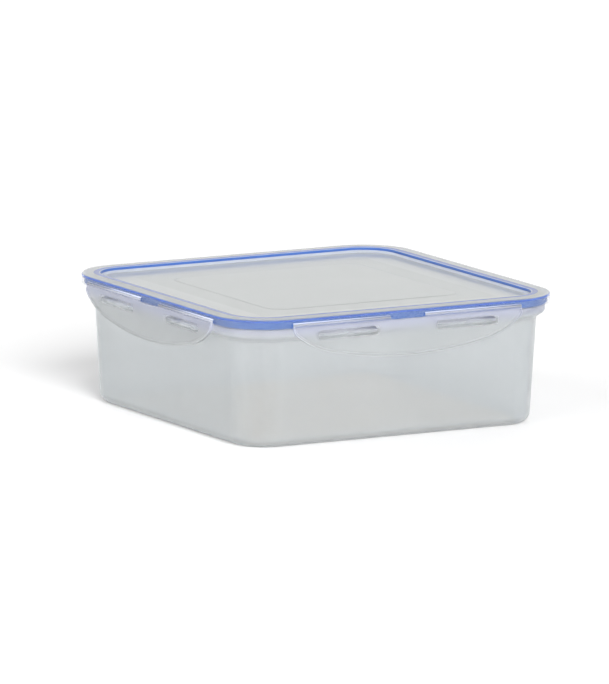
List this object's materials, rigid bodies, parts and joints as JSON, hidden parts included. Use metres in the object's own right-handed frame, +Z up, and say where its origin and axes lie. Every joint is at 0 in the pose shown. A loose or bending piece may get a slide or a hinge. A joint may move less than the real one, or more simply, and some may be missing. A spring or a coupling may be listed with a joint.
{
  "type": "food storage container",
  "caption": "Square translucent food storage box with a clip-on lid: hinged flaps snap over lugs on the rim and press a soft seal ring.",
  "frame": {"origin": "middle of the foot, on the surface that the box stands on", "axes": "+Z up through the middle of the lid, -Y out of the front side, +X to the right of the front"},
  "size_m": [0.2196, 0.2196, 0.076],
  "materials": {
    "clear_plastic": "translucent, satin",
    "lid_plastic": "translucent, polished",
    "seal_rubber": "smooth, soft"
  },
  "bodies": {
    "tub": {"tub": "clear_plastic"},
    "lid": {"lid": "lid_plastic", "seal_ring": "seal_rubber"},
    "hinge_front": {"hinge_front": "lid_plastic"},
    "flap_front": {"flap_front": "lid_plastic"},
    "hinge_right": {"hinge_right": "lid_plastic"},
    "flap_right": {"flap_right": "lid_plastic"},
    "hinge_back": {"hinge_back": "lid_plastic"},
    "flap_back": {"flap_back": "lid_plastic"},
    "hinge_left": {"hinge_left": "lid_plastic"},
    "flap_left": {"flap_left": "lid_plastic"}
  },
  "joints": [
    {"name": "lid_lift", "type": "slide", "parent": "tub", "child": "lid", "axis": [0, 0, 1], "range_m": [0, 0.012]},
    {"name": "hinge_bend_front", "type": "hinge", "parent": "lid", "child": "hinge_front", "pos_m": [0, -0.10875, 0.0722], "axis": [-1, 0, 0], "range_deg": [0, 61]},
    {"name": "flap_turn_front", "type": "hinge", "parent": "hinge_front", "child": "flap_front", "pos_m": [0, -0.10875, 0.0722], "axis": [-1, 0, 0], "range_deg": [0, 100]},
    {"name": "hinge_bend_right", "type": "hinge", "parent": "lid", "child": "hinge_right", "pos_m": [0.10875, 0, 0.0722], "axis": [0, -1, 0], "range_deg": [0, 61]},
    {"name": "flap_turn_right", "type": "hinge", "parent": "hinge_right", "child": "flap_right", "pos_m": [0.10875, 0, 0.0722], "axis": [0, -1, 0], "range_deg": [0, 100]},
    {"name": "hinge_bend_back", "type": "hinge", "parent": "lid", "child": "hinge_back", "pos_m": [0, 0.10875, 0.0722], "axis": [1, 0, 0], "range_deg": [0, 61]},
    {"name": "flap_turn_back", "type": "hinge", "parent": "hinge_back", "child": "flap_back", "pos_m": [0, 0.10875, 0.0722], "axis": [1, 0, 0], "range_deg": [0, 100]},
    {"name": "hinge_bend_left", "type": "hinge", "parent": "lid", "child": "hinge_left", "pos_m": [-0.10875, 0, 0.0722], "axis": [0, 1, 0], "range_deg": [0, 61]},
    {"name": "flap_turn_left", "type": "hinge", "parent": "hinge_left", "child": "flap_left", "pos_m": [-0.10875, 0, 0.0722], "axis": [0, 1, 0], "range_deg": [0, 100]}
  ],
  "couplings": [
    {"joint": "hinge_bend_front", "follows": "lid_lift", "rad_per_m": 87.2},
    {"joint": "hinge_bend_right", "follows": "lid_lift", "rad_per_m": 87.2},
    {"joint": "hinge_bend_back", "follows": "lid_lift", "rad_per_m": 87.2},
    {"joint": "hinge_bend_left", "follows": "lid_lift", "rad_per_m": 87.2}
  ]
}
